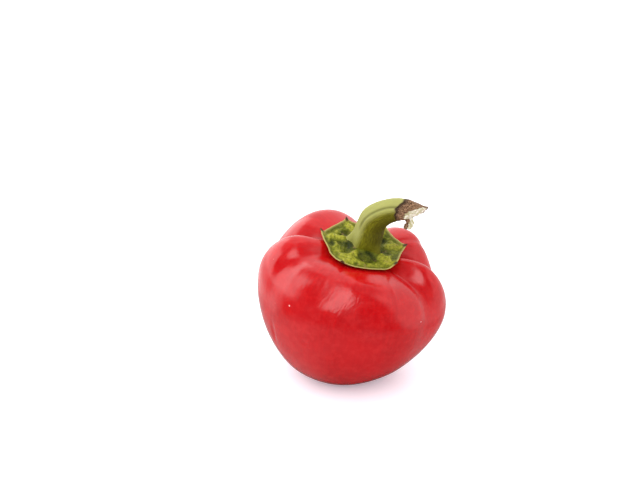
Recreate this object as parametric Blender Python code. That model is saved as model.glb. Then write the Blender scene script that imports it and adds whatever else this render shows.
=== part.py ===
"""A red bell pepper standing on its base: a five-lobed fruit, its calyx and its cut stem.

Units are metres. +Z is up, +X is the side that the stem curves to, and the origin is on the floor
under the middle of the fruit. Each piece is drawn about a straight axis first, and place() then
leans and bends that axis and stands the pepper on the floor.
"""

from math import cos, pi, radians, sin, sqrt, tau
from typing import NamedTuple

import bmesh
import bpy
from mathutils import Matrix, Vector

# The fruit, measured along its axis from the level of its feet
FRUIT_HEIGHT = 0.0549  # to the shoulder of a lobe of full height
FRUIT_HALF_WIDTH = 0.0364  # from the axis to the side of a lobe of full reach
WIDEST_HEIGHT = 0.0372
SHOULDER_RADIUS = 0.0220  # from the axis to the top of a lobe's shoulder
FOOT_RADIUS = 0.0086  # from the axis to the lowest line of a lobe
SHOULDER_ROUNDNESS = 2.0  # 2 is an ellipse, and more is squarer
FLANK_ROUNDNESS = 1.70

# A furrow of full depth between two lobes, measured in from a lobe's crest
FURROW_SHOULDER_DEPTH = 0.0070
FURROW_SHOULDER_INSET = 0.0054
FURROW_FLANK_DEPTH = 0.0034
FURROW_WIDEST_DROP = 0.0040
FURROW_FLANK_ROUNDNESS = 1.95
FURROW_FOOT_HEIGHT = 0.0006
FURROW_FOOT_INSET = 0.0006
FURROW_SOFTNESS = 0.14  # 0 is a sharp V

# The hollow that the calyx sits in, the one round the blossom scar, and the flat spot below
SEAT_DEPTH = 0.0032
BLOSSOM_DEPTH = 0.0021
REST_DEPTH = 0.0010  # how much of the rounded feet the flat spot takes off

# How the axis leans to +X and nods to -Y, in degrees, at the base and at the seat
BASE_LEAN = -2.2
SEAT_LEAN = 16.5
BASE_NOD = -1.0
SEAT_NOD = 3.0

# The calyx
CALYX_RADIUS = 0.0148  # from the axis to a tip of full reach
CALYX_NOTCH = 0.0015  # how far the edge between two tips is drawn in
CALYX_TIPS = (  # each tip's angle in degrees round the axis, from +X, and its reach as a share
    (12, 1.00),
    (62, 0.98),
    (118, 1.02),
    (176, 1.08),
    (242, 1.18),
    (322, 0.98),
)
CALYX_THICKNESS = 0.0011
CALYX_RISE = 0.0032  # from its seat to its top, under the stem
CALYX_COLLAR = 0.0030  # how far its slope reaches out from the stem's root
CALYX_BRIDGE = 14  # degrees to each side over which it bridges a furrow

# The stem: its radius past its bend, at its root and at its cut end, and its middle line from its
# root, leaning with the seat
STEM_RADIUS = 0.0046
STEM_ROOT_RADIUS = 0.0062
STEM_END_RADIUS = 0.0042
STEM_LINE = (
    (0.0, 0.0, 0.0),
    (0.0, 0.0, 0.0042),
    (0.0, -0.0005, 0.0092),
    (0.0024, -0.0016, 0.0140),
    (0.0062, -0.0032, 0.0175),
    (0.0120, -0.0053, 0.0195),
)

GAP = 0.0003  # left between pieces that touch

SEGMENTS = 80  # round the axis, the same on the fruit and the calyx so that their faces run parallel
FRUIT_RINGS = 44
CALYX_RINGS = 16


class Lobe(NamedTuple):
    """One lobe, which starts at a furrow and runs anticlockwise, seen from above, to the next."""

    furrow: float  # degrees round the axis, from +X
    furrow_depth: float  # 1 is a furrow of full depth, and 0 is none
    reach: float  # its width from the axis, as a share of the full one
    shoulder: float  # its height, as a share of the full one
    widest: float  # the height at which it is widest, as a share of the full one


LOBES = (
    Lobe(80, 1.0, 0.925, 0.980, 1.00),
    Lobe(172, 1.0, 0.975, 0.970, 1.05),
    Lobe(209, 0.5, 0.885, 0.960, 1.00),
    Lobe(326, 0.5, 0.975, 1.035, 0.96),
    Lobe(358, 1.0, 0.810, 1.030, 1.04),
)


class Section(NamedTuple):
    """Half a lengthwise section of the fruit, through a crest or a furrow."""

    shoulder_radius: float
    shoulder_height: float
    half_width: float
    widest_height: float
    foot_radius: float
    foot_height: float
    flank_roundness: float


# The share of a section's length at which each stretch of it starts
SHOULDER_START, FLANK_START, BASE_START = 0.22, 0.52, 0.88


def ease(share):
    return (1 - cos(pi * share)) / 2


def crest_section(lobe):
    return Section(
        SHOULDER_RADIUS,
        FRUIT_HEIGHT * lobe.shoulder,
        FRUIT_HALF_WIDTH * lobe.reach,
        WIDEST_HEIGHT * lobe.widest,
        FOOT_RADIUS,
        0.0,
        FLANK_ROUNDNESS,
    )


def furrow_section(here):
    """The section in the furrow that this lobe starts at."""
    deepest = Section(
        SHOULDER_RADIUS - FURROW_SHOULDER_INSET,
        FRUIT_HEIGHT - FURROW_SHOULDER_DEPTH,
        FRUIT_HALF_WIDTH - FURROW_FLANK_DEPTH,
        WIDEST_HEIGHT - FURROW_WIDEST_DROP,
        FOOT_RADIUS - FURROW_FOOT_INSET,
        FURROW_FOOT_HEIGHT,
        FURROW_FLANK_ROUNDNESS,
    )
    beside = blend(crest_section(LOBES[here - 1]), crest_section(LOBES[here]), 0.5)
    return blend(beside, deepest, LOBES[here].furrow_depth)


def blend(first, second, share):
    return Section(*(a + (b - a) * share for a, b in zip(first, second)))


def section_at(azimuth):
    """The section at this angle round the axis: a blend of the furrow's and the lobe's crest."""
    turns = [(azimuth - radians(lobe.furrow)) % tau for lobe in LOBES]
    here = min(range(len(LOBES)), key=turns.__getitem__)
    following = (here + 1) % len(LOBES)
    width = radians(LOBES[following].furrow - LOBES[here].furrow) % tau
    across = turns[here] / width
    furrow = furrow_section(here if across < 0.5 else following)
    return blend(furrow, crest_section(LOBES[here]), lobe_swell(1 - abs(2 * across - 1)))


def lobe_swell(from_furrow):
    """0 in the furrow and 1 on the crest, rising like the side of a circle."""
    soft = sqrt((from_furrow**2 + FURROW_SOFTNESS**2) / (1 + FURROW_SOFTNESS**2))
    lowest = FURROW_SOFTNESS / sqrt(1 + FURROW_SOFTNESS**2)
    return (arc_height(soft) - arc_height(lowest)) / (1 - arc_height(lowest))


def arc_height(share):
    return sqrt(max(0.0, 1 - (1 - share) ** 2))


def seat_height(section, radius):
    """The fruit's height under the calyx, at this distance from the axis."""
    bottom = FRUIT_HEIGHT - SEAT_DEPTH
    return bottom + (section.shoulder_height - bottom) * ease(radius / section.shoulder_radius)


def skin_point(section, share):
    """(radius, height) on a section, from the middle of the seat at 0 to the blossom scar at 1."""
    if share < SHOULDER_START:
        radius = section.shoulder_radius * share / SHOULDER_START
        return radius, seat_height(section, radius)
    if share < FLANK_START:
        turn = pi / 2 * (share - SHOULDER_START) / (FLANK_START - SHOULDER_START)
        power = 2 / SHOULDER_ROUNDNESS
        return (
            section.shoulder_radius + (section.half_width - section.shoulder_radius) * sin(turn) ** power,
            section.widest_height + (section.shoulder_height - section.widest_height) * cos(turn) ** power,
        )
    if share < BASE_START:
        turn = pi / 2 * (share - FLANK_START) / (BASE_START - FLANK_START)
        power = 2 / section.flank_roundness
        return (
            section.foot_radius + (section.half_width - section.foot_radius) * cos(turn) ** power,
            section.widest_height - (section.widest_height - section.foot_height) * sin(turn) ** power,
        )
    inward = (share - BASE_START) / (1 - BASE_START)
    radius = section.foot_radius * (1 - inward)
    return radius, BLOSSOM_DEPTH + (section.foot_height - BLOSSOM_DEPTH) * ease(1 - inward)


def bent(point):
    """The point moved from the straight axis to the one that leans, as an arc up to the seat."""
    on_arc = min(max(point.z, 0.0), FRUIT_HEIGHT)
    share = on_arc / FRUIT_HEIGHT
    half_way = tilt(share / 2)
    return half_way @ Vector((0, 0, on_arc)) + tilt(share) @ (point - Vector((0, 0, on_arc)))


def tilt(share):
    lean = radians(BASE_LEAN + (SEAT_LEAN - BASE_LEAN) * share)
    nod = radians(BASE_NOD + (SEAT_NOD - BASE_NOD) * share)
    return Matrix.Rotation(lean, 3, "Y") @ Matrix.Rotation(nod, 3, "X")


def skin_points():
    """The fruit's skin on a grid, still with its feet rounded."""
    for segment in range(SEGMENTS):
        azimuth = tau * segment / SEGMENTS
        section = section_at(azimuth)
        for ring in range(FRUIT_RINGS + 1):
            radius, height = skin_point(section, ring / FRUIT_RINGS)
            yield bent(Vector((radius * cos(azimuth), radius * sin(azimuth), height)))


def floor_point():
    """The point on the floor under the middle of the fruit, as bent() leaves it."""
    xs, ys, zs = zip(*skin_points())
    return Vector(((min(xs) + max(xs)) / 2, (min(ys) + max(ys)) / 2, min(zs) + REST_DEPTH))


def place(point, floor):
    return bent(point) - floor


def new_object(name, mesh, collection):
    made = bpy.data.objects.new(name, mesh)
    collection.objects.link(made)
    return made


def mesh_from(bm, name):
    mesh = bpy.data.meshes.new(name)
    bm.to_mesh(mesh)
    bm.free()
    return mesh


def sphere(rings):
    bm = bmesh.new()
    bmesh.ops.create_uvsphere(bm, u_segments=SEGMENTS, v_segments=rings, radius=1)
    return bm


def azimuth_and_polar(co):
    """A unit sphere vertex's angle round the axis, and its angle down from the top."""
    across = Vector((co.x, co.y))
    azimuth = Vector((1, 0)).angle_signed(across) * -1 if across.length > 1e-6 else 0.0
    return azimuth, co.angle(Vector((0, 0, 1)))


def make_fruit(collection, cutters, floor):
    """A sphere drawn out into the lobes, then cut level where it rests."""
    bm = sphere(FRUIT_RINGS)
    for vert in bm.verts:
        azimuth, polar = azimuth_and_polar(vert.co)
        radius, height = skin_point(section_at(azimuth), polar / pi)
        vert.co = place(Vector((radius * cos(azimuth), radius * sin(azimuth), height)), floor)
    fruit = new_object("fruit", mesh_from(bm, "fruit"), collection)

    bm = bmesh.new()
    bmesh.ops.create_cube(bm, size=1)
    bmesh.ops.scale(bm, vec=(4 * FOOT_RADIUS, 4 * FOOT_RADIUS, 4 * REST_DEPTH), verts=bm.verts)
    bmesh.ops.translate(bm, vec=(0, 0, -2 * REST_DEPTH), verts=bm.verts)
    cutter = new_object("rest_cutter", mesh_from(bm, "rest_cutter"), cutters)
    cutter.hide_render = True
    cutter.display_type = "WIRE"
    cut = fruit.modifiers.new("rest", "BOOLEAN")
    cut.operation = "DIFFERENCE"
    cut.solver = "EXACT"
    cut.object = cutter
    return fruit


def calyx_edge(azimuth):
    """The calyx's radius: full at each tip, and drawn in between two tips."""
    turns = [(azimuth - radians(tip)) % tau for tip, _ in CALYX_TIPS]
    here = min(range(len(CALYX_TIPS)), key=turns.__getitem__)
    tip, reach = CALYX_TIPS[here]
    next_tip, next_reach = CALYX_TIPS[(here + 1) % len(CALYX_TIPS)]
    share = turns[here] / (radians(next_tip - tip) % tau)
    return CALYX_RADIUS * (reach + (next_reach - reach) * share) - CALYX_NOTCH * sin(pi * share)


def calyx_underside(azimuth, radius):
    """The gap above the highest skin nearby, so that the calyx bridges the furrows."""
    turns = (radians(CALYX_BRIDGE * share / 2) for share in range(-2, 3))
    return max(seat_height(section_at(azimuth + turn), radius) for turn in turns) + GAP


def calyx_top():
    """The height of the calyx's flat middle, on which the stem stands."""
    return FRUIT_HEIGHT - SEAT_DEPTH + GAP + CALYX_RISE


def make_calyx(collection, floor):
    """A flattened sphere draped on the seat, with six tips and a rise in the middle for the stem."""
    bm = sphere(CALYX_RINGS)
    for vert in bm.verts:
        azimuth, polar = azimuth_and_polar(vert.co)
        out = 1 - abs(polar / (pi / 2) - 1)
        radius = calyx_edge(azimuth) * out
        underside = calyx_underside(azimuth, radius)
        height = underside
        if polar < pi / 2 - 1e-3:
            sheet = underside + CALYX_THICKNESS
            away = (radius - STEM_ROOT_RADIUS) / CALYX_COLLAR
            height = sheet + (calyx_top() - sheet) * ease(1 - min(max(away, 0.0), 1.0))
        elif polar < pi / 2 + 1e-3:
            height = underside + CALYX_THICKNESS / 2
        vert.co = place(Vector((radius * cos(azimuth), radius * sin(azimuth), height)), floor)
    return new_object("calyx", mesh_from(bm, "calyx"), collection)


def make_stem(collection, floor):
    """A bent tube that tapers up from its root and widens a little at its cut end."""
    curve = bpy.data.curves.new("stem", "CURVE")
    curve.dimensions = "3D"
    curve.bevel_depth = STEM_RADIUS
    curve.bevel_resolution = 6
    curve.resolution_u = 7
    curve.use_fill_caps = True
    spline = curve.splines.new("BEZIER")
    spline.bezier_points.add(len(STEM_LINE) - 1)
    root = Vector((0, 0, calyx_top() + GAP))
    past_bend = len(STEM_LINE) - 2
    for number, (point, offset) in enumerate(zip(spline.bezier_points, STEM_LINE)):
        point.co = place(root + Vector(offset), floor)
        point.handle_left_type = point.handle_right_type = "AUTO"
        taper = min(number / past_bend, 1.0)
        point.radius = 1 + (STEM_ROOT_RADIUS / STEM_RADIUS - 1) * (1 - taper)
    spline.bezier_points[-1].radius = STEM_END_RADIUS / STEM_RADIUS
    return new_object("stem", curve, collection)


def material(name, color, roughness):
    made = bpy.data.materials.new(name)
    made.use_nodes = True
    shader = made.node_tree.nodes["Principled BSDF"]
    shader.inputs["Base Color"].default_value = (*color, 1)
    shader.inputs["Roughness"].default_value = roughness
    shader.inputs["Metallic"].default_value = 0
    made.diffuse_color = (*color, 1)
    return made


def finish(made, look):
    made.data.materials.append(look)
    if made.type == "MESH":
        made.data.shade_smooth()
        made.data.set_sharp_from_angle(angle=radians(50))


def main():
    for old in list(bpy.data.objects):
        bpy.data.objects.remove(old)
    pepper = bpy.data.collections.new("bell_pepper")
    cutters = bpy.data.collections.new("cutters")
    bpy.context.scene.collection.children.link(pepper)
    bpy.context.scene.collection.children.link(cutters)

    floor = floor_point()
    finish(make_fruit(pepper, cutters, floor), material("skin", (0.60, 0.010, 0.014), 0.2))
    finish(make_calyx(pepper, floor), material("calyx", (0.12, 0.17, 0.03), 0.6))
    finish(make_stem(pepper, floor), material("stem", (0.22, 0.25, 0.05), 0.5))


main()
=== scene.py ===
"""The looks of the red bell pepper: its glossy skin, its crumpled calyx and its ribbed, dried stem.

Lengths are metres and angles are degrees. Each visible piece is drawn afresh on a fine grid that is
cast onto its CAD solid, so its place and size come from the frame, and then gets its own relief.
"""

from math import asin, atan2, cos, radians, sin, tau

import bpy
import numpy as np
from mathutils import Matrix, Vector, noise
from mathutils.bvhtree import BVHTree


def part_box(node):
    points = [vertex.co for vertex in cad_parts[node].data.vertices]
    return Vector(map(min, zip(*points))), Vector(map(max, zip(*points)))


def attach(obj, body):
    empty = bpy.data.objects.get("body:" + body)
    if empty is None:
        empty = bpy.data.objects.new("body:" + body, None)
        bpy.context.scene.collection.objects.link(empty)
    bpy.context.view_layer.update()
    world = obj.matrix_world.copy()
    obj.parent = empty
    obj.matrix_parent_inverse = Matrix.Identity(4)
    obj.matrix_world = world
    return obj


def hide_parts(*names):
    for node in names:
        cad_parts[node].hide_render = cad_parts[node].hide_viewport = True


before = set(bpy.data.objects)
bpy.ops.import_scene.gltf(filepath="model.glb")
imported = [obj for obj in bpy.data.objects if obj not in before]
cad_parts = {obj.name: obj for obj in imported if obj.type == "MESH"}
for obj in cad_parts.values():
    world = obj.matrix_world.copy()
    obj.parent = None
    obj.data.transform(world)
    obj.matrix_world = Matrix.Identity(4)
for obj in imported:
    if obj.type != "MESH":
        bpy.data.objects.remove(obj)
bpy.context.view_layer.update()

MM = 0.001

# The camera, as the photograph was taken: from the front and above
CAMERA_PLACE = (0.0, -0.4193, 0.2723)
CAMERA_PITCH = 27.48  # down from level
CAMERA_YAW = 1.58  # to the left of straight ahead
CAMERA_LENS_MM = 73.8
SENSOR_MM = 36.0

# The skin's grid, and how far the CAD solid's facets are smoothed, in steps of the grid
SKIN_COLUMNS = 360
SKIN_ROWS = 230
SKIN_SMOOTHING = 2.2

# The calyx's grid
CALYX_COLUMNS = 300
CALYX_TOP_ROWS = 74
CALYX_RIM_ROWS = 6
CALYX_UNDER_ROWS = 12

# The stem's grid
STEM_COLUMNS = 144
STEM_STEP = 0.22 * MM


# ---------------------------------------------------------------- small helpers


def cad_mesh(node):
    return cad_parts[node].data


def tree_of(mesh):
    """A mesh, ready to cast rays at."""
    return BVHTree.FromPolygons([v.co for v in mesh.vertices], [p.vertices for p in mesh.polygons])


def ease(share):
    """0 up to 0 and 1 from 1 on, with a smooth rise between them."""
    share = np.clip(share, 0, 1)
    return share * share * (3 - 2 * share)


def bell(offset, spread):
    return np.exp(-(offset**2) / (2 * spread**2))


def turn_between(angles, angle):
    """How far each angle is from one angle, the short way round, in degrees."""
    return (angles - angle + 180) % 360 - 180


def blurred(field, spread):
    """The field smoothed along both its axes. It is joined end to end round its second one."""
    reach = int(3 * spread) + 1
    shifts = np.arange(-reach, reach + 1)
    weights = bell(shifts, spread)
    weights /= weights.sum()
    field = sum(w * np.roll(field, s, axis=1) for w, s in zip(weights, shifts))
    padded = np.pad(field, ((reach, reach), (0, 0)), mode="edge")
    return sum(w * padded[reach + s : reach + s + len(field)] for w, s in zip(weights, shifts))


def lumps(points, size, seed):
    """Smooth noise between about -1 and 1 at each point, with lumps of this size."""
    shift = Vector((17.3, 5.1, 9.7)) * seed
    flat = (points / size).reshape(-1, 3)
    values = [noise.noise(Vector(place) + shift) for place in flat]
    return np.array(values).reshape(points.shape[:-1])


def around(columns):
    """The angle of each column, in degrees."""
    return np.arange(columns) * 360 / columns


def round_axis(angle, out, up):
    """Points from an angle round the Z axis, in radians, a distance from it and a height."""
    return np.stack(np.broadcast_arrays(out * np.cos(angle), out * np.sin(angle), up), axis=-1)


def interpolated(at, given, rows):
    """Each column of the rows, given at some places, read off at others."""
    return np.stack([np.interp(at, given, column) for column in rows.T], axis=-1)


def surface(name, rings, ends, shades, grain):
    """A closed mesh through rings of points, with a point closing each end, and its named shades.

    The first end is the upper one, and the rings run anticlockwise seen from above. Each shade has
    a number for each point of the rings, and grain has the coordinates that its patterns follow.
    """
    rows, columns = rings.shape[:2]
    points = np.vstack([ends[0], rings.reshape(-1, 3), ends[1]])
    ring = 1 + np.arange(rows * columns).reshape(rows, columns)
    after = np.roll(ring, -1, axis=1)
    last = rows * columns + 1
    faces = np.stack([ring[:-1], ring[1:], after[1:], after[:-1]], axis=-1)
    faces = faces.reshape(-1, 4).tolist()
    faces += [(0, a, b) for a, b in zip(ring[0].tolist(), after[0].tolist())]
    faces += [(last, b, a) for a, b in zip(ring[-1].tolist(), after[-1].tolist())]
    mesh = bpy.data.meshes.new(name)
    mesh.from_pydata(points.tolist(), [], faces)
    mesh.shade_smooth()
    for title, field in shades.items():
        values = np.concatenate([[field[0].mean()], field.ravel(), [field[-1].mean()]])
        mesh.attributes.new(title, "FLOAT", "POINT").data.foreach_set("value", values)
    values = np.vstack([grain[0].mean(axis=0), grain.reshape(-1, 3), grain[-1].mean(axis=0)])
    mesh.attributes.new("grain", "FLOAT_VECTOR", "POINT").data.foreach_set("vector", values.ravel())
    piece = bpy.data.objects.new(name, mesh)
    bpy.context.scene.collection.objects.link(piece)
    return piece


# ---------------------------------------------------------------- where things are in the frame


class Seat:
    """The stem's root in the CAD model: its middle, and its axes with z along the stem."""

    def __init__(self):
        root_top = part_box("stem")[0].z + 4 * MM
        faces = cad_mesh("stem").polygons
        caps = [p for p in faces if p.normal.z < -0.9 and p.center.z < root_top]
        area = sum(p.area for p in caps)
        self.place = sum((p.center * p.area for p in caps), Vector()) / area
        axis = -sum((p.normal * p.area for p in caps), Vector()).normalized()
        lean, nod = atan2(axis.x, axis.z), asin(-axis.y)
        self.axes = Matrix.Rotation(lean, 3, "Y") @ Matrix.Rotation(nod, 3, "X")
        self.axis = axis

    def out(self, radius, angles, height):
        """Points in the frame, from cylindrical places about the root."""
        local = round_axis(np.radians(angles), radius, height)
        return local @ np.array(self.axes).T + np.array(self.place)

    def local(self, points):
        return (points - np.array(self.place)) @ np.array(self.axes)


def blossom_middle():
    """The middle of the flat spot that the pepper rests on."""
    low = [v.co for v in cad_mesh("fruit").vertices if v.co.z < 0.02 * MM]
    xs, ys = [p.x for p in low], [p.y for p in low]
    return Vector(((min(xs) + max(xs)) / 2, (min(ys) + max(ys)) / 2, 0))


def cast(tree, starts, direction, fallback):
    """How far each start is from the tree along one direction, or the fallback on a miss."""
    found = []
    for start in starts.reshape(-1, 3):
        distance = tree.ray_cast(Vector(start), direction)[3]
        found.append(fallback if distance is None else distance)
    return np.array(found).reshape(starts.shape[:-1])


# ---------------------------------------------------------------- the skin

# Folds that run out from the calyx over the shoulders, and the larger, softer swells of the flanks
FOLD_DEPTH = 0.10 * MM
SWELL_DEPTH = 0.07 * MM
RIPPLE_DEPTH = 0.020 * MM
CREASE_DEPTH = 0.35 * MM
CREASE_WIDTH = 2.6  # in degrees

# The scar where the blossom was, a rough button in a shallow ring
SCAR_RADIUS = 0.8 * MM
SCAR_HEIGHT = 0.5 * MM
SCAR_RING_RADIUS = 2.1 * MM
SCAR_RING_WIDTH = 0.7 * MM
SCAR_RING_DEPTH = 0.25 * MM
FOOT_DISTANCE = 26 * MM  # from the fruit's middle to the scar

# Small marks on the skin: angle round the axis, angle down from the calyx, their spread both ways in
# degrees, and their depth in millimetres, negative where the skin rises
DENTS = (
    (210, 101, 1.2, 5.5, 0.50),
    (238, 93, 2.0, 1.6, 0.20),
    (318, 96, 1.5, 1.5, 0.14),
    (28, 74, 2.4, 5.0, 0.30),
    (112, 88, 3.0, 3.0, 0.30),
    (150, 66, 1.4, 4.5, 0.26),
    (200, 54, 1.5, 4.0, -0.10),
    (218, 58, 1.7, 5.0, -0.16),
    (240, 48, 1.8, 7.0, -0.18),
    (262, 44, 2.2, 8.0, -0.16),
    (296, 50, 1.6, 6.0, -0.18),
    (326, 55, 1.5, 3.0, -0.14),
)

# The middle of a patch of fine scuffs, and pale specks, at the same two angles, with a speck's radius
SCUFFS = (257, 58)
SCUFFS_SPREAD = 5.5 * MM
SPECKS = ((224, 72, 0.30 * MM), (316, 71, 0.20 * MM))


def furrow_angles(reach):
    """The angles at which the fruit is drawn in between two lobes, just above its widest part."""
    row = blurred(reach, 2)[int(0.34 * SKIN_ROWS)]
    before, after = np.roll(row, 1), np.roll(row, -1)
    return around(SKIN_COLUMNS)[(row < before) & (row <= after)]


def skin_creases(tall, wide, furrows):
    """Narrow creases along the furrows, and how strongly they show from the calyx to the foot."""
    weave = 1.5 * np.sin(np.radians(tall) * 7 + furrows[:, None, None])
    creases = bell(turn_between(wide, furrows[:, None, None] + weave), CREASE_WIDTH).sum(axis=0)
    return creases, ease((tall - 16) / 14) * (1 - ease((tall - 60) / 40))


def skin_relief(tall, wide, points):
    """How far the skin stands out from the CAD solid, with its folds, swells, ripples and dents."""
    shoulder = ease((tall - 14) / 16) * (1 - ease((tall - 52) / 34))
    loose = 1 - ease((tall - 128) / 22)  # the relief dies out towards the foot
    folds = lumps(round_axis(np.radians(wide), 2.6, 0.5 * np.radians(tall)), 1, 3)
    relief = FOLD_DEPTH * folds * shoulder
    relief += SWELL_DEPTH * lumps(points, 13 * MM, 1) * loose
    relief += RIPPLE_DEPTH * lumps(points, 3.2 * MM, 2) * loose
    for mark_turn, mark_down, mark_wide, mark_tall, depth in DENTS:
        mark = bell(turn_between(wide, mark_turn), mark_wide) * bell(tall - mark_down, mark_tall)
        relief -= depth * MM * mark
    return relief


def make_skin(seat):
    """The whole fruit on a fine grid, with rays cast from its middle onto the CAD solid.

    It comes with the place and radius of each pale speck on it.
    """
    foot = blossom_middle()
    middle = (foot + seat.place) / 2
    up = (seat.place - foot).normalized()
    across = (Vector((1, 0, 0)) - up * up.x).normalized()
    axes = np.array(Matrix((across, up.cross(across), up)))

    down = (np.arange(SKIN_ROWS) + 0.5) * 180 / SKIN_ROWS
    tall, wide = np.meshgrid(down, around(SKIN_COLUMNS), indexing="ij")
    polar, azimuth = np.radians(tall), np.radians(wide)
    directions = round_axis(azimuth, np.sin(polar), np.cos(polar)) @ axes

    tree = tree_of(cad_mesh("fruit"))
    reach = np.array([tree.ray_cast(middle, Vector(d))[3] for d in directions.reshape(-1, 3)])
    reach = reach.reshape(polar.shape)
    resting = (reach * directions[..., 2] + middle.z) < 0.05 * MM
    furrows = furrow_angles(reach)
    reach = blurred(reach, SKIN_SMOOTHING)

    creases, crease_reach = skin_creases(tall, wide, furrows)
    relief = skin_relief(tall, wide, reach[..., None] * directions)
    relief -= CREASE_DEPTH * creases * crease_reach
    from_foot = np.radians(180 - tall) * FOOT_DISTANCE
    relief += SCAR_HEIGHT * bell(from_foot, SCAR_RADIUS)
    relief -= SCAR_RING_DEPTH * bell(from_foot - SCAR_RING_RADIUS, SCAR_RING_WIDTH)

    points = (reach + relief)[..., None] * directions + np.array(middle)
    points[..., 2] = np.where(resting, 0, np.maximum(points[..., 2], 0))

    def spot(around_axis, from_calyx):
        """The point of the grid at these two angles."""
        row, column = from_calyx * SKIN_ROWS / 180, around_axis * SKIN_COLUMNS / 360
        return points[int(row), round(column) % SKIN_COLUMNS]

    from_scuffs = np.linalg.norm(points - spot(*SCUFFS), axis=-1)
    shades = {
        "scar": ease(1.2 - from_foot / (1.3 * MM)),
        "scuffed": bell(from_scuffs, SCUFFS_SPREAD),
        "near_calyx": 1 - ease((tall - 16) / 26),
        # where the skin's colour gets painted shade along the furrows
        "furrow_painted_shade": np.clip(creases, 0, 1) * crease_reach,
    }
    ends = [points[0].mean(axis=0), points[-1].mean(axis=0)]
    specks = [(spot(around_axis, from_calyx), radius) for around_axis, from_calyx, radius in SPECKS]
    skin = surface("pepper_skin", points, ends, shades, round_axis(azimuth, 1, polar))
    return skin, specks


# ---------------------------------------------------------------- the calyx

RIM_THICKNESS = 0.42 * MM
RIM_LIFT = 0.45 * MM
RIM_WIDTH = 0.055  # as a share of the way from the middle to the edge
TIP_REACH = 0.9 * MM
TIP_LIFT = 1.1 * MM
RIB_HEIGHT = 0.75 * MM
LUMP_HEIGHT = 1.15 * MM
HOLLOW_DEPTH = 1.3 * MM
CLEARANCE = 0.12 * MM  # between the calyx and the skin below it
ABOVE = 12 * MM  # where rays start, over and under the stem's root
BELOW = -14 * MM


def calyx_outline(seat):
    """The CAD calyx's radius at its edge for each column, about the stem's root."""
    local = seat.local(np.array([v.co for v in cad_mesh("calyx").vertices]))
    radius = np.hypot(local[:, 0], local[:, 1])
    angle = np.degrees(np.arctan2(local[:, 1], local[:, 0])) % 360
    near = 3.0  # degrees to each side
    turn = around(CALYX_COLUMNS)
    edge = [radius[np.abs(turn_between(angle, column)) < near].max() for column in turn]
    return blurred(np.array(edge)[None, :], 1.5)[0]


def outline_tips(edge):
    """The angles at which the edge reaches out furthest."""
    before, after = np.roll(edge, 1), np.roll(edge, -1)
    return around(CALYX_COLUMNS)[(edge > before) & (edge >= after)]


def calyx_layers(seat, skin, radius, inside):
    """The CAD calyx's upper and lower side, and the skin, as heights over the stem's root."""
    turn = around(CALYX_COLUMNS)
    cad = tree_of(cad_mesh("calyx"))
    top = ABOVE - cast(cad, seat.out(inside, turn, ABOVE), -seat.axis, ABOVE)
    under = BELOW + cast(cad, seat.out(inside, turn, BELOW), seat.axis, -BELOW)
    flesh = ABOVE - cast(tree_of(skin.data), seat.out(radius, turn, ABOVE), -seat.axis, 20 * MM)
    return blurred(top, 2), blurred(under, 2), flesh


def calyx_relief(places, radius, share, ribs, from_root):
    """Lumps and folds, ribs that run out to the tips, and hollows round the stem between them."""
    coarse = lumps(places, 2.6 * MM, 7)
    fine = lumps(places, 0.95 * MM, 8)
    folded = 1 - 2 * np.abs(coarse)
    to_rim = 1 - ease((share - 0.80) / 0.16)
    near_root = bell(radius - 8.2 * MM, 1.5 * MM) * (1 - ribs)
    relief = LUMP_HEIGHT * (0.5 * folded + 0.5 * coarse) + 0.22 * MM * fine
    relief = relief * from_root * to_rim
    relief += RIB_HEIGHT * ribs * from_root * (1 - 0.75 * ease((share - 0.6) / 0.4))
    return relief - HOLLOW_DEPTH * near_root * ease(coarse + 0.6)


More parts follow.
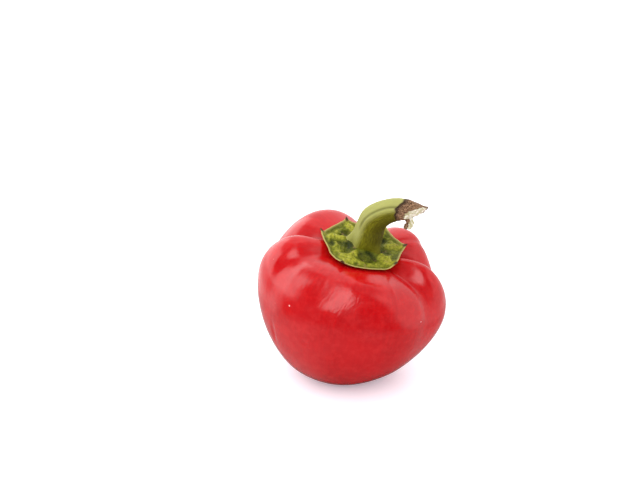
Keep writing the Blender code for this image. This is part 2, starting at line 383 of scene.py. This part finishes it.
def make_calyx(seat, skin):
    """A crumpled green sheet draped over the top of the fruit, with ribs running to pointed tips."""
    turn = around(CALYX_COLUMNS)
    edge = calyx_outline(seat)
    tips = outline_tips(edge)
    wobble = lumps(round_axis(np.radians(turn), 1, 0), 0.12, 5)
    point = sum(np.exp(-np.abs(turn_between(turn, tip)) / 2.4) for tip in tips)
    plain_edge = edge + 0.22 * MM * wobble
    full_edge = plain_edge + TIP_REACH * point

    share = np.linspace(0.02, 1, CALYX_TOP_ROWS)[:, None]  # from the middle to the edge
    radius = share * full_edge
    inside = np.minimum(radius, 0.965 * plain_edge)
    top, under, flesh = calyx_layers(seat, skin, radius, inside)
    base = blurred(np.maximum(under, flesh), 2.5) - 0.15 * MM
    base = np.maximum(base, flesh + CLEARANCE)

    wide = np.broadcast_to(turn, radius.shape)
    from_root = ease((radius - 6.6 * MM) / (1.8 * MM))
    rib_width = np.degrees(1.05 * MM / np.maximum(radius, 4 * MM))
    ribs = np.clip(sum(bell(turn_between(wide, tip), rib_width) for tip in tips), 0, 1)
    relief = calyx_relief(seat.out(radius, turn, 0), radius, share, ribs, from_root)
    rim = ease((share - (1 - RIM_WIDTH)) / RIM_WIDTH)
    tip_share = point * ease((share - 0.86) / 0.14)
    lift = RIM_LIFT * rim + TIP_LIFT * tip_share
    sheet = (top - under) * (1 - ease((share - 0.74) / 0.22))
    thickness = np.maximum(sheet, RIM_THICKNESS)
    height = base + np.maximum(thickness + relief, RIM_THICKNESS) + lift

    angle = np.radians(np.linspace(0, 180, CALYX_RIM_ROWS + 2)[1:-1, None])
    rim_radius = full_edge + RIM_THICKNESS / 2 * np.sin(angle)
    rim_height = height[-1] - RIM_THICKNESS / 2 + RIM_THICKNESS / 2 * np.cos(angle)

    back = np.linspace(1, 0.06, CALYX_UNDER_ROWS)[:, None]  # and back to the middle underneath
    under_height = interpolated(back[:, 0], share[:, 0], base)
    under_height += lift[-1] * ease((back - 0.9) / 0.1)
    rings = np.concatenate(
        [
            seat.out(radius, turn, height),
            seat.out(rim_radius, turn, rim_height),
            seat.out(back * full_edge, turn, np.minimum(under_height, rim_height[-1])),
        ]
    )

    def padded(field):
        """A shade of the upper side carried over the rim and back underneath."""
        field = np.broadcast_to(field, height.shape)
        return np.concatenate([field, np.tile(field[-1], (CALYX_RIM_ROWS + CALYX_UNDER_ROWS, 1))])

    shades = {
        "rim": padded(rim),
        "tip": padded(np.clip(tip_share * 1.3, 0, 1)),
        # where the ribs get a painted highlight
        "rib_highlight": padded(ribs * from_root),
        # how high the relief stands, which sets the painted shade in the hollows and the painted
        # highlight on the lumps
        "high": padded(ease(0.5 + relief / (1.6 * MM))),
    }
    outs = padded(radius) / (15 * MM)
    grain = round_axis(np.radians(padded(wide)), outs, outs)
    ends = [rings[0].mean(axis=0), rings[-1].mean(axis=0)]
    return surface("pepper_calyx", rings, ends, shades, grain)


# ---------------------------------------------------------------- the stem

SINK = 1.4 * MM  # how far the stem runs down into the calyx
FLARE = 1.5 * MM
FLARE_HEIGHT = 3.6 * MM
CUT_SLOPE = 0.38  # how far the cut slants back from the stem's top to its underside, per width
CUT_TURN = 1.15  # and how far it slants back to the camera's side
DRY_LENGTH = 5.0 * MM
DRY_SHRINKAGE = 0.9 * MM  # how much thinner its radius is at the cut
WALL = 0.13  # the rind's share of the cut face's radius
PITH_BULGE = 0.55 * MM
GROOVE_TURN = 306  # the sharp groove that runs up the stem beside its top ridge
GROOVE_DEPTH = 0.30 * MM
LINE_SPACING = 0.1 * MM  # between the points of its middle line
GRAIN_LENGTH = 4.4 * MM  # the stretch of stem that counts as 1 for its patterns

# The stem's ridges: angle round it from the camera's side towards +X, height along it and at its root
RIDGES = ((52, 0.20, 1.5), (128, 0.25, 1.0), (196, 0.30, 1.2), (262, 0.30, 1.4), (324, 0.42, 0.5))


def stem_line(seat):
    """The middle line of the CAD stem from its root to its cut end, and its radius along it."""
    tree = tree_of(cad_mesh("stem"))
    step = 1.0 * MM
    direction = seat.axis.copy()
    here = seat.place + direction * step
    middles, radii = [seat.place.copy()], []
    while True:
        side = direction.orthogonal().normalized()
        other = direction.cross(side)
        turns = [tau * k / 24 for k in range(24)]
        hits = [tree.ray_cast(here, side * cos(a) + other * sin(a))[0] for a in turns]
        middle = sum(hits, Vector()) / len(hits)
        radii.append(sum((hit - middle).length for hit in hits) / len(hits))
        middles.append(middle)
        direction = (middle - middles[max(0, len(middles) - 4)]).normalized()
        ahead = tree.ray_cast(middle, direction)[3]
        if ahead is None or ahead < 1.4 * step:
            middles.append(middle + direction * (ahead or 0))
            break
        here = middle + direction * step
    middles = np.array(middles)
    radii = np.array([radii[0], *radii, radii[-1]])
    along = np.concatenate([[0], np.cumsum(np.linalg.norm(np.diff(middles, axis=0), axis=1))])
    return along, middles, radii


def smooth_line(line, spread, spacing):
    """The line with its corners taken off, and its ends kept."""
    reach = int(3 * spread / spacing)
    weights = bell(np.arange(-reach, reach + 1) * spacing, spread)
    weights /= weights.sum()
    lead = 2 * line[0] - line[reach:0:-1]
    tail = 2 * line[-1] - line[-2 : -reach - 2 : -1]
    padded = np.concatenate([lead, line, tail])
    return np.stack([np.convolve(padded[:, k], weights, "valid") for k in range(3)], axis=-1)


def along_frames(line):
    """At each point of the line: its direction, the side turned to the camera, and the one across."""
    tangents = np.gradient(line, axis=0)
    tangents /= np.linalg.norm(tangents, axis=1)[:, None]
    front = np.array((0.0, -1.0, 0.0))
    fronts = []
    for tangent in tangents:
        front = front - tangent * (front @ tangent)
        front = front / np.linalg.norm(front)
        fronts.append(front)
    fronts = np.array(fronts)
    return tangents, fronts, np.cross(tangents, fronts)


class StemCore:
    """The stem's smoothed middle line, with its directions and the CAD radius along it."""

    def __init__(self, seat):
        self.along, middles, self.radii = stem_line(seat)
        self.length = self.along[-1]
        at = np.arange(0, self.length, LINE_SPACING)
        line = smooth_line(interpolated(at, self.along, middles), 0.9 * MM, LINE_SPACING)
        self.last = at[-1]
        self.rows = np.concatenate([line, *along_frames(line)], axis=1)

    def ring(self, at, angle, radius):
        """Points at this distance along the stem and this radius, past its ends too."""
        inside = np.clip(at, 0, self.last)
        found = interpolated(inside / LINE_SPACING, np.arange(len(self.rows)), self.rows)
        middle, ahead, front, side = np.split(found, 4, axis=-1)
        out = front * np.cos(angle)[..., None] + side * np.sin(angle)[..., None]
        return middle + ahead * (at - inside)[..., None] + out * radius[..., None]


def stem_radius(core, at, from_end, topward, cylinder, dry, groove):
    """The CAD radius with the flare, ridges, groove and streaks of the rind, and its dried end."""
    rooted = np.clip(1 - at / FLARE_HEIGHT, 0, 1.35)
    radius = np.interp(at, core.along, core.radii) + FLARE * rooted**2
    for ridge_turn, height, root_height in RIDGES:
        swell = bell(turn_between(around(STEM_COLUMNS), ridge_turn), 15) - 0.35
        radius += swell * MM * (height * (1 - 0.6 * dry) + root_height * rooted**2)
    radius -= GROOVE_DEPTH * groove
    streaks = lumps(cylinder * (1, 1, 0.10), 0.22, 12)
    radius += 0.07 * MM * streaks + 0.12 * MM * lumps(cylinder, 0.9, 13)
    wrinkles = lumps(cylinder * (1, 1, 0.35), 0.26, 14)
    shrunk = ease(1.1 - from_end / (5.5 * MM)) * (0.75 + 0.45 * np.clip(topward, 0, 1))
    radius -= dry * (0.12 * MM + 0.30 * MM * wrinkles) + DRY_SHRINKAGE * shrunk
    lip = bell(from_end, 0.5 * MM)
    return radius + 0.15 * MM * lip


def cut_face(core, angle, slant, cut_at, cut_radius):
    """The cut from its middle out to the rind, the pith's share of it, and its grain.

    The pith bulges out of the shrunken rind.
    """
    inward = np.linspace(0.02, 0.93, 22)[:, None]
    in_pith = 1 - ease((inward - (1 - WALL - 0.08)) / 0.08)
    centre_at = (cut_at - slant).mean()
    at = centre_at + slant * inward + (cut_at - centre_at - slant) * inward**2
    at += in_pith * PITH_BULGE * (1 - inward**2)
    at += 0.30 * MM * lumps(round_axis(angle, inward, 0), 0.16, 16)
    grain = round_axis(angle, inward, core.length / GRAIN_LENGTH)
    return core.ring(at, angle, cut_radius * inward), in_pith, grain


def make_stem(seat):
    """A ribbed stem that flares into the calyx and ends in a dry, slanting cut with pale pith.

    It comes with the place on the cut's lower edge from which torn rind hangs.
    """
    core = StemCore(seat)
    turn = around(STEM_COLUMNS)
    angle = np.radians(turn)
    topward = -np.sin(angle)  # 1 on the outside of the bend and -1 on the inside
    slant = (CUT_SLOPE * topward - CUT_TURN * np.cos(angle)) * (core.radii[-1] - DRY_SHRINKAGE)
    column_length = core.length + slant

    rows = int((core.length + SINK) / STEM_STEP)
    share = np.linspace(1, 0, rows)[:, None]  # from the cut down to the root
    at = -SINK + share * (column_length + SINK)
    from_end = column_length - at
    cylinder = round_axis(angle, 1, at / GRAIN_LENGTH)
    ragged = lumps(cylinder * (1, 1, 0.6), 0.42, 11)
    dry_edge = DRY_LENGTH + 0.55 * slant + 0.9 * MM * ragged
    dry = ease((dry_edge - from_end) / (0.5 * MM) + 0.5)
    wandering = turn + 7 * lumps(0.5 * cylinder, 1, 17)
    groove = bell(turn_between(wandering, GROOVE_TURN), 4.5) * ease((at - 5 * MM) / (4 * MM))

    radius = stem_radius(core, at, from_end, topward, cylinder, dry, groove)
    torn = 0.45 * MM * lumps(cylinder[:1] * (1, 1, 0), 0.28, 15)
    at = at + torn * ease(1 - from_end / (2.5 * MM))
    rind = core.ring(at, angle, radius)
    face, in_pith, face_grain = cut_face(core, angle, slant, at[0], radius[0])

    def shade(on_face, on_rind):
        """A shade of the cut face's grid, followed by the rind's."""
        on_face = np.broadcast_to(on_face, face.shape[:2])
        return np.concatenate([on_face, np.broadcast_to(on_rind, at.shape)])

    shades = {
        "dry": shade(1 - in_pith, dry),
        "pith": shade(in_pith, 0),
        "dry_edge": shade(0, dry * bell(dry_edge - from_end, 0.8 * MM)),
        "root": shade(0, ease(1 - (at - 0.2 * MM) / (4 * MM))),
        # painted shade: darkens the stem's underside
        "underside_painted_shade": shade(0, ease(0.55 - 0.8 * topward)),
        # painted light: lightens the stem's top side
        "topward": shade(0, ease(topward)),
        # painted shade: darkens the groove
        "groove": shade(0, groove),
    }
    rings = np.concatenate([face, rind])
    grain = np.concatenate([face_grain, cylinder])
    ends = [face[0].mean(axis=0), rind[-1].mean(axis=0)]
    lower_edge = rind[0][int(STEM_COLUMNS * 0.20)]
    return surface("pepper_stem", rings, ends, shades, grain), Vector(lower_edge)


# Torn strips of rind that hang from the cut: the middle line's steps from the cut's lower edge in
# millimetres, the width and thickness, and how dry it is
SCRAPS = (
    (
        ((0.3, 0.2, 0.9), (0.5, -0.2, -0.6), (0.2, -0.5, -1.9), (-1.1, -0.8, -3.2)),
        2.2 * MM,
        0.8 * MM,
        1.0,
    ),
    (
        ((1.0, 0.1, 0.9), (1.4, -0.4, -0.5), (1.2, -0.8, -1.9), (0.3, -1.0, -3.4)),
        1.9 * MM,
        0.7 * MM,
        0.15,
    ),
)
SCRAP_COLUMNS = 20
SCRAP_ROWS = 26


def make_scrap(name, path, width, thickness, dry):
    """A torn strip of rind that hangs from the cut, through these points."""
    spread = np.linspace(0, 1, SCRAP_ROWS)
    line = interpolated(spread, np.linspace(0, 1, len(path)), np.array(path))
    line = smooth_line(line, 0.25 * MM, 0.12 * MM)
    _, fronts, sides = along_frames(line)
    angle = np.radians(around(SCRAP_COLUMNS))[:, None]
    taper = np.sqrt(np.clip(1 - (2 * spread - 1) ** 4, 0.02, 1))[:, None]
    ragged = 1 + 0.30 * lumps(line, 0.5 * MM, 21)[:, None]
    out = (
        fronts[:, None, :] * (np.cos(angle) * thickness / 2)
        + sides[:, None, :] * (np.sin(angle) * width / 2)
    )
    rings = line[:, None, :] + out * (taper * ragged)[..., None]
    shades = dict.fromkeys(
        ("dry_edge", "root", "underside_painted_shade", "topward", "groove"), np.zeros(rings.shape[:2])
    )
    shades["dry"] = np.full(rings.shape[:2], dry)
    shades["pith"] = np.full(rings.shape[:2], 1 - dry)
    ends = [rings[0].mean(axis=0), rings[-1].mean(axis=0)]
    return surface(name, rings, ends, shades, rings / GRAIN_LENGTH)


# ---------------------------------------------------------------- materials


class Nodes:
    """A new material's node tree, with short ways to add nodes to it."""

    def __init__(self, name, owner=None, shader="Principled BSDF"):
        self.material = owner or bpy.data.materials.new(name)
        self.material.use_nodes = True
        self.tree = self.material.node_tree
        self.shader = self.tree.nodes[shader]

    def add(self, kind, **settings):
        node = self.tree.nodes.new(kind)
        for key, value in settings.items():
            setattr(node, key, value)
        return node

    def link(self, source, target):
        self.tree.links.new(source, target)

    def put(self, value, socket):
        """A number, a colour or another node's output on a socket."""
        if isinstance(value, bpy.types.NodeSocket):
            self.link(value, socket)
        elif isinstance(value, tuple) and len(value) == 3 and socket.type == "RGBA":
            socket.default_value = (*value, 1)
        else:
            socket.default_value = value

    def shade(self, name):
        return self.add("ShaderNodeAttribute", attribute_name=name).outputs["Fac"]

    def grain(self, scale=(1, 1, 1)):
        read = self.add("ShaderNodeAttribute", attribute_name="grain")
        mapping = self.add("ShaderNodeMapping")
        mapping.inputs["Scale"].default_value = scale
        self.link(read.outputs["Vector"], mapping.inputs["Vector"])
        return mapping.outputs["Vector"]

    def place(self):
        return self.add("ShaderNodeTexCoord").outputs["Object"]

    def slanted(self, vector, scale, lean):
        """The vector scaled, after a turn about Y that brings this lean, in degrees, upright."""
        turned = self.add("ShaderNodeVectorRotate", rotation_type="Y_AXIS")
        self.link(vector, turned.inputs["Vector"])
        turned.inputs["Angle"].default_value = radians(-lean)
        mapping = self.add("ShaderNodeMapping")
        mapping.inputs["Scale"].default_value = scale
        self.link(turned.outputs["Vector"], mapping.inputs["Vector"])
        return mapping.outputs["Vector"]

    def noise(self, vector, scale, detail=2.0, roughness=0.5, distortion=0.0):
        node = self.add("ShaderNodeTexNoise")
        self.link(vector, node.inputs["Vector"])
        node.inputs["Scale"].default_value = scale
        node.inputs["Detail"].default_value = detail
        node.inputs["Roughness"].default_value = roughness
        node.inputs["Distortion"].default_value = distortion
        return node.outputs["Fac"]

    def spots(self, vector, scale, size):
        """1 in small round spots scattered at random, and 0 around them."""
        node = self.add("ShaderNodeTexVoronoi")
        self.link(vector, node.inputs["Vector"])
        node.inputs["Scale"].default_value = scale
        return self.span(node.outputs["Distance"], size, 0.6 * size, 0, 1)

    def near(self, vector, middle, radius):
        """1 close to a place, fading to 0 at this radius from it."""
        node = self.add("ShaderNodeVectorMath", operation="DISTANCE")
        self.link(vector, node.inputs[0])
        node.inputs[1].default_value = middle
        return self.span(node.outputs["Value"], radius, 0.6 * radius)

    def span(self, value, low, high, to_low=0.0, to_high=1.0):
        node = self.add("ShaderNodeMapRange", interpolation_type="SMOOTHSTEP")
        for socket, number in zip(node.inputs, (value, low, high, to_low, to_high)):
            self.put(number, socket)
        return node.outputs["Result"]

    def math(self, operation, first, second=0.5):
        node = self.add("ShaderNodeMath", operation=operation)
        self.put(first, node.inputs[0])
        self.put(second, node.inputs[1])
        return node.outputs["Value"]

    def mix(self, share, first, second, blend="MIX"):
        node = self.add("ShaderNodeMix", data_type="RGBA", blend_type=blend)
        for index, value in ((0, share), (6, first), (7, second)):
            self.put(value, node.inputs[index])
        return node.outputs[2]

    def bump(self, height, strength, distance, under=None):
        node = self.add("ShaderNodeBump")
        self.link(height, node.inputs["Height"])
        node.inputs["Strength"].default_value = strength
        node.inputs["Distance"].default_value = distance
        if under:
            self.link(under, node.inputs["Normal"])
        return node.outputs["Normal"]

    def finish(self, **sockets):
        for key, value in sockets.items():
            self.put(value, self.shader.inputs[key.replace("_", " ")])
        return self.material


def skin_material(specks):
    """A deep red waxy skin: mottled, finely pitted, with faint streaks along the lobes."""
    n = Nodes("skin")
    place = n.place()
    cloudy = n.span(n.noise(place, 60, 3), 0.35, 0.70)
    mottled = n.span(n.noise(place, 420, 4, 0.6), 0.40, 0.72)
    streaky = n.noise(n.grain((16, 16, 1.6)), 2.2, 3, 0.6)

    colour = n.mix(cloudy, (0.350, 0.0001, 0.0020), (0.410, 0.0003, 0.0025))
    colour = n.mix(n.span(streaky, 0.42, 0.72, 0, 0.45), colour, (0.465, 0.001, 0.003))
    colour = n.mix(n.math("MULTIPLY", mottled, 0.35), colour, (0.520, 0.014, 0.013))
    colour = n.mix(n.span(n.shade("near_calyx"), 0, 1, 0, 0.55), colour, (0.560, 0.006, 0.002))
    # painted shade: the skin is darkened along the furrows
    colour = n.mix(n.math("MULTIPLY", n.shade("furrow_painted_shade"), 0.25), colour, (0.340, 0.001, 0.003))
    colour = n.mix(n.math("MULTIPLY", n.spots(place, 150, 0.035), 0.4), colour, (0.75, 0.16, 0.12))
    for middle, radius in specks:
        colour = n.mix(n.near(place, middle, radius), colour, (0.90, 0.60, 0.55))
    colour = n.mix(n.shade("scar"), colour, (0.16, 0.055, 0.015))

    pits = n.bump(n.noise(place, 1500, 2), 0.03, 0.0002)
    slanting = n.bump(n.noise(n.grain((14, 14, 3)), 2.5, 2, 0.5, 0.4), 0.06, 0.0003, pits)
    soft = n.bump(n.noise(place, 260, 2), 0.16, 0.0004, slanting)
    scratches = n.noise(n.slanted(place, (1400, 1400, 190), 32), 1, 2, 0.5)
    scratches = n.math("MULTIPLY", scratches, n.span(n.shade("scuffed"), 0, 1, 0.06, 1.0))
    scratched = n.bump(scratches, 0.28, 0.0004, soft)
    gloss = n.span(n.noise(place, 130, 3), 0.30, 0.75, 0.17, 0.27)
    return n.finish(
        Base_Color=colour,
        Roughness=gloss,
        Normal=scratched,
        IOR=1.44,
        Coat_Weight=0.06,
        Coat_Roughness=0.12,
        Coat_IOR=1.45,
        Subsurface_Weight=0.12,
        Subsurface_Radius=(1.0, 0.12, 0.06),
        Subsurface_Scale=0.002,
    )


def calyx_material():
    """Green leaf gone leathery and tan along its rim, with painted shade in its hollows and a painted
    yellow-green highlight on its lumps and ribs.
    """
    n = Nodes("calyx")
    place = n.place()
    blotches = n.span(n.noise(place, 380, 4, 0.6), 0.36, 0.66)
    fine = n.span(n.noise(place, 1300, 3, 0.6), 0.36, 0.68)
    dark, middle, light = (0.010, 0.015, 0.001), (0.115, 0.130, 0.004), (0.380, 0.370, 0.035)

    # painted shade: the relief's hollows are darkened
    colour = n.mix(n.span(n.shade("high"), 0.15, 0.75), dark, middle)
    colour = n.mix(n.math("MULTIPLY", blotches, 0.35), colour, (0.24, 0.25, 0.018))
    # painted highlight: the tops of the lumps are lightened
    colour = n.mix(n.math("MULTIPLY", n.span(n.shade("high"), 0.62, 0.95), 0.60), colour, light)
    # painted highlight: the ribs are lightened with the same colour as the lumps' tops
    colour = n.mix(n.math("MULTIPLY", n.shade("rib_highlight"), 0.45), colour, light)
    colour = n.mix(n.math("MULTIPLY", fine, 0.60), colour, (0.045, 0.060, 0.002))
    russet = n.span(n.noise(place, 520, 3), 0.60, 0.72)
    colour = n.mix(n.math("MULTIPLY", russet, 0.45), colour, (0.30, 0.170, 0.085))
    colour = n.mix(n.math("MULTIPLY", n.shade("rim"), 0.70), colour, (0.47, 0.39, 0.13))
    colour = n.mix(n.span(n.shade("tip"), 0.25, 0.75), colour, (0.070, 0.040, 0.018))

    veins = n.bump(n.noise(n.grain((9, 9, 2)), 5, 4, 0.6), 0.35, 0.0006)
    crumple = n.bump(n.noise(place, 900, 4, 0.6), 0.60, 0.0006, veins)
    return n.finish(
        Base_Color=colour,
        Roughness=n.span(fine, 0, 1, 0.42, 0.62),
        Normal=crumple,
        Specular_IOR_Level=0.12,
        Subsurface_Weight=0.06,
        Subsurface_Radius=(0.5, 0.8, 0.2),
        Subsurface_Scale=0.001,
    )


def stem_material():
    """A green fibrous rind with painted light on its top side and painted shade under it and in its
    groove, brown and cracked where it has dried, with pale woody pith in the cut.
    """
    n = Nodes("stem")
    place = n.place()
    fibres = n.noise(n.grain((5, 5, 0.5)), 4, 4, 0.6)
    blotches = n.noise(place, 300, 4, 0.6)

    green = n.mix(n.span(fibres, 0.35, 0.68), (0.080, 0.074, 0.0005), (0.205, 0.200, 0.008))
    green = n.mix(n.span(blotches, 0.50, 0.75, 0, 0.45), green, (0.070, 0.068, 0.0005))
    # painted light: the stem's top side is lightened
    green = n.mix(n.span(n.shade("topward"), 0.25, 0.95, 0, 0.80), green, (0.345, 0.350, 0.110))
    # painted shade: the stem's underside is darkened
    green = n.mix(n.math("MULTIPLY", n.shade("underside_painted_shade"), 0.80), green, (0.050, 0.042, 0.0003))
    # painted shade: the groove is darkened
    green = n.mix(n.math("MULTIPLY", n.shade("groove"), 0.55), green, (0.040, 0.040, 0.001))
    green = n.mix(n.math("MULTIPLY", n.shade("root"), 0.30), green, (0.20, 0.19, 0.008))

    cracks = n.noise(n.grain((6, 6, 2.2)), 3.5, 5, 0.7)
    brown = n.mix(n.span(cracks, 0.40, 0.60), (0.022, 0.008, 0.002), (0.330, 0.190, 0.105))
    brown = n.mix(n.shade("dry_edge"), brown, (0.010, 0.005, 0.001))
    woody = n.span(n.noise(place, 900, 4, 0.6), 0.35, 0.65)
    pith = n.mix(woody, (0.42, 0.39, 0.20), (0.80, 0.77, 0.66))

    colour = n.mix(n.shade("dry"), green, brown)
    colour = n.mix(n.shade("pith"), colour, pith)
    ribbed = n.bump(fibres, 0.45, 0.0006)
    cracked = n.bump(n.noise(place, 1200, 4, 0.65), 0.35, 0.0004, ribbed)
    return n.finish(
        Base_Color=colour,
        Roughness=n.span(blotches, 0.3, 0.7, 0.45, 0.62),
        Normal=cracked,
        Specular_IOR_Level=0.12,
        Subsurface_Weight=0.05,
        Subsurface_Radius=(0.6, 0.8, 0.2),
        Subsurface_Scale=0.001,
    )


# ---------------------------------------------------------------- the studio

FLOOR_HALF = 3.0
FLOOR_LEVEL = -0.05 * MM
FLOOR_GLOW = 0.22  # a touch of lilac light, for the camera only
NEAR_FLOOR = 0.075  # how far from the pepper gloss sees the floor's near part end
FAR_FLOOR = 0.110  # and its far part begin

# What gloss sees around it: from and to, in degrees to the right of the camera, then in height
DARK_ROOM = (-72, 57, -90, 72)
LEFT_PANEL = (-160, -69, 0, 46)
CEILING = (-130, 132, 50, 100)

# And how bright it is there
ROOM_LIGHT = 1.30
PANEL_LIGHT = 3.4
CEILING_LIGHT = 0.35
DARK_ROOM_LIGHT = 0.03
WINDOW_LIGHT = 4.8


class Directions:
    """Shader nodes that tell directions apart as seen from the pepper, in one node tree."""

    def __init__(self, nodes, x, y):
        self.nodes = nodes
        # 0 behind the camera, positive to +X
        self.sideways = nodes.math("ARCTAN2", x, nodes.math("MULTIPLY", y, -1.0))

    def ramp(self, angle, start, end, at_start=0.0, at_end=1.0):
        """A smooth change from one value to another between two angles, in degrees."""
        return self.nodes.span(angle, radians(start), radians(end), at_start, at_end)

    def between(self, angle, low, high, soft):
        """1 where the angle lies between two others, in degrees, and 0 outside them."""
        rise = self.ramp(angle, low - soft, low + soft)
        fall = self.ramp(angle, high - soft, high + soft, 1.0, 0.0)
        return self.nodes.math("MULTIPLY", rise, fall)


def floor_material():
    """White paper to the camera. For gloss its colour holds painted shade and a painted reflection of
    the room: shaded near the pepper, and beyond that dark in front, where the room is dark, and
    lighter to both sides."""
    n = Nodes("table")
    place = n.place()
    split = n.add("ShaderNodeSeparateXYZ")
    n.link(place, split.inputs[0])
    x, y = split.outputs[0], split.outputs[1]
    directions = Directions(n, x, y)
    sideways = directions.sideways
    away = n.math("SQRT", n.math("ADD", n.math("MULTIPLY", x, x), n.math("MULTIPLY", y, y)))
    # painted shade and painted reflection: the floor's colour as gloss sees it, darker near the
    # pepper and, past that, in front
    near_left = directions.ramp(sideways, -60, -5, 0.38, 0.19)
    near_right = directions.ramp(sideways, 45, 80, 0, 0.15)
    far_left = directions.ramp(sideways, -95, -72, 0.85, 0.01)
    far_right = directions.ramp(sideways, 48, 60, 0, 0.62)
    near = n.math("ADD", near_left, near_right)
    far = n.math("ADD", far_left, far_right)
    seen = n.mix(n.span(away, NEAR_FLOOR, FAR_FLOOR), near, far)

    path = n.add("ShaderNodeLightPath").outputs
    paper = n.mix(n.noise(place, 700, 3), (0.88, 0.87, 0.90), (0.92, 0.91, 0.94))
    colour = n.mix(path["Is Camera Ray"], (0.86, 0.84, 0.86), paper)
    # gloss sees the floor in this painted shade
    colour = n.mix(path["Is Glossy Ray"], colour, seen)
    return n.finish(
        Base_Color=colour,
        Roughness=0.9,
        Specular_IOR_Level=0.1,
        Emission_Color=n.mix(path["Is Camera Ray"], (0, 0, 0), (0.90, 0.85, 1.0)),
        Emission_Strength=FLOOR_GLOW,
    )


def make_floor():
    """A plain white table top, faintly lilac."""
    mesh = bpy.data.meshes.new("floor")
    corners = ((-1, -1), (1, -1), (1, 1), (-1, 1))
    points = [(x * FLOOR_HALF, y * FLOOR_HALF, FLOOR_LEVEL) for x, y in corners]
    mesh.from_pydata(points, [], [(0, 1, 2, 3)])
    mesh.materials.append(floor_material())
    floor = bpy.data.objects.new("floor", mesh)
    bpy.context.scene.collection.objects.link(floor)


def window(n, directions, height):
    """1 in a tall soft window that leans, so that it runs further left the lower it is."""
    left_edge = directions.ramp(height, -10, 50, radians(-39), radians(-26))
    right_edge = directions.ramp(height, -18, 42, radians(-26), radians(19))
    from_left = n.math("SUBTRACT", directions.sideways, left_edge)
    from_right = n.math("SUBTRACT", right_edge, directions.sideways)
    left, right = directions.ramp(from_left, -5, 9), directions.ramp(from_right, -4, 5)
    low, high = directions.ramp(height, -22, 8), directions.ramp(height, 52, 80, 1, 0.15)
    return n.math("MULTIPLY", n.math("MULTIPLY", left, right), n.math("MULTIPLY", low, high))


def make_sky():
    """A white tent of light. Gloss sees a lit room instead, with a bright panel to the left and a
    dark part behind the camera, and a tall window in the dark."""
    world = bpy.data.worlds.new("studio")
    bpy.context.scene.world = world
    n = Nodes("studio", world, "Background")
    split = n.add("ShaderNodeSeparateXYZ")
    n.link(n.add("ShaderNodeTexCoord").outputs["Generated"], split.inputs[0])
    x, y, z = split.outputs
    directions = Directions(n, x, y)
    height = n.math("ARCSINE", z)

    def opening(left, right, low, high, soft):
        across = directions.between(directions.sideways, left, right, soft)
        return n.math("MULTIPLY", across, directions.between(height, low, high, soft))

    def painted(under, where, brightness):
        change = n.math("MULTIPLY", where, n.math("SUBTRACT", brightness, under))
        return n.math("ADD", under, change)

    tent = n.math("MULTIPLY", n.span(z, 0.0, 0.85, 0.95, 2.05), n.span(x, -0.9, 0.6, 1.30, 0.95))
    seen = painted(ROOM_LIGHT, opening(*LEFT_PANEL, 5), PANEL_LIGHT)
    seen = painted(seen, opening(*CEILING, 6), CEILING_LIGHT)
    seen = painted(seen, opening(*DARK_ROOM, 4.5), DARK_ROOM_LIGHT)
    seen = painted(seen, window(n, directions, height), WINDOW_LIGHT)
    glossy = n.add("ShaderNodeLightPath").outputs["Is Glossy Ray"]
    n.shader.inputs["Color"].default_value = (1.0, 0.985, 0.99, 1)
    n.link(painted(tent, glossy, seen), n.shader.inputs["Strength"])


def make_camera():
    data = bpy.data.cameras.new("camera")
    data.lens = CAMERA_LENS_MM
    data.sensor_width = SENSOR_MM
    data.clip_start = 0.01
    camera = bpy.data.objects.new("camera", data)
    camera.location = CAMERA_PLACE
    camera.rotation_euler = (radians(90 - CAMERA_PITCH), 0, radians(CAMERA_YAW))
    bpy.context.scene.collection.objects.link(camera)
    bpy.context.scene.camera = camera
    bpy.context.scene.view_settings.view_transform = "Standard"


def make_pepper():
    seat = Seat()
    skin, specks = make_skin(seat)
    calyx = make_calyx(seat, skin)
    stem, torn = make_stem(seat)
    looks = {"skin": skin_material(specks), "calyx": calyx_material(), "stem": stem_material()}
    scraps = []
    for number, (steps, width, thickness, dry) in enumerate(SCRAPS, 1):
        path = [torn + Vector(step) * MM for step in steps]
        scraps.append(make_scrap(f"stem_scrap_{number}", path, width, thickness, dry))
    organs = ((skin, "fruit", "skin"), (calyx, "calyx", "calyx"), (stem, "stem", "stem"))
    for piece, node, slot in organs:
        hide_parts(node)
        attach(piece, "root")
        piece.data.materials.append(looks[slot])
    for piece in scraps:
        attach(piece, "root")
        piece.data.materials.append(looks["stem"])


make_pepper()
make_floor()
make_sky()
make_camera()
